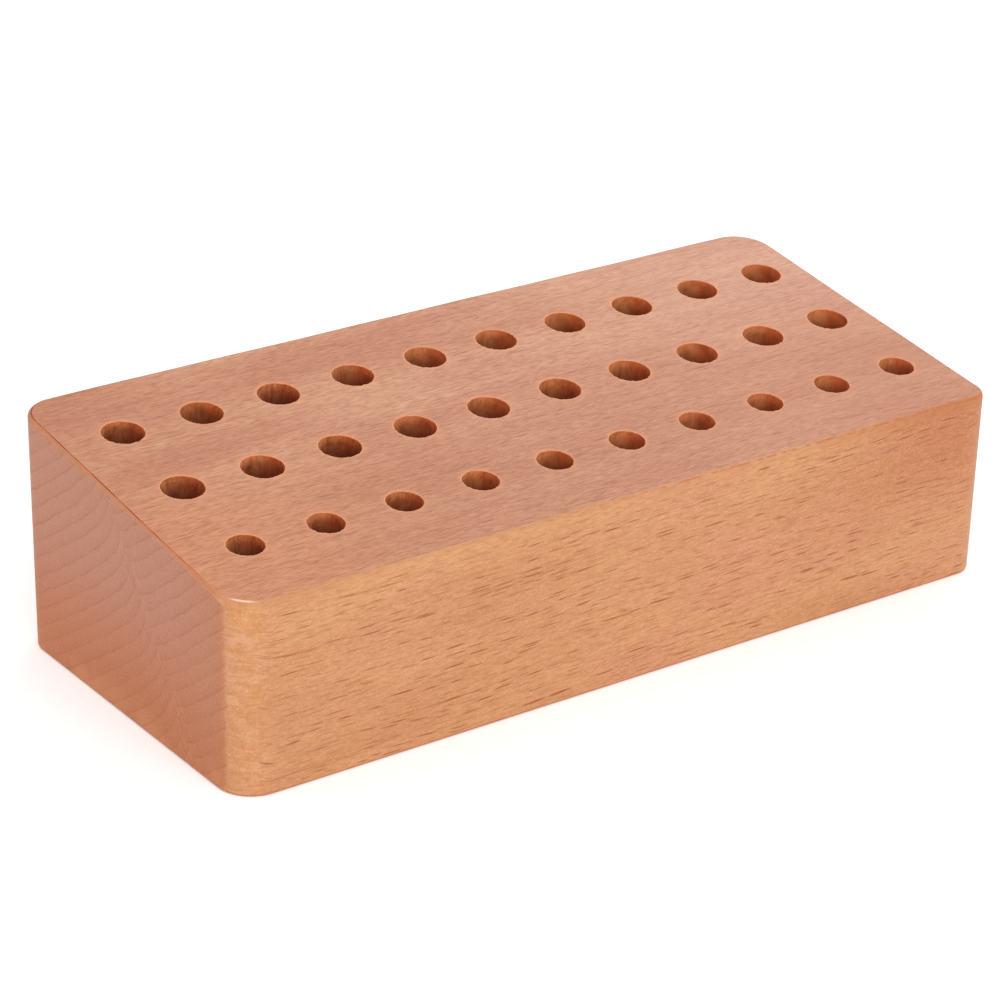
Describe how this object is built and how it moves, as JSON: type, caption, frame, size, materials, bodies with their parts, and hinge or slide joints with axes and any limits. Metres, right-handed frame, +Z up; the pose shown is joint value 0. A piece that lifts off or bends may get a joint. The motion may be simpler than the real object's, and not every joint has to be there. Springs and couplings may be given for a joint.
{
  "type": "screwdriver holder",
  "caption": "Solid beech bench block with a top that slopes to the front, rounded upright corners and rows of blind holes that hold small screwdrivers point down.",
  "frame": {"origin": "middle of the flat base", "axes": "+X along the length, +Y to the back, where the block is tallest, +Z up"},
  "size_m": [0.1496, 0.067, 0.0414],
  "materials": {
    "beech": "satin, planed and sanded"
  },
  "bodies": {
    "root": {"beech_block": "beech"}
  },
  "joints": []
}
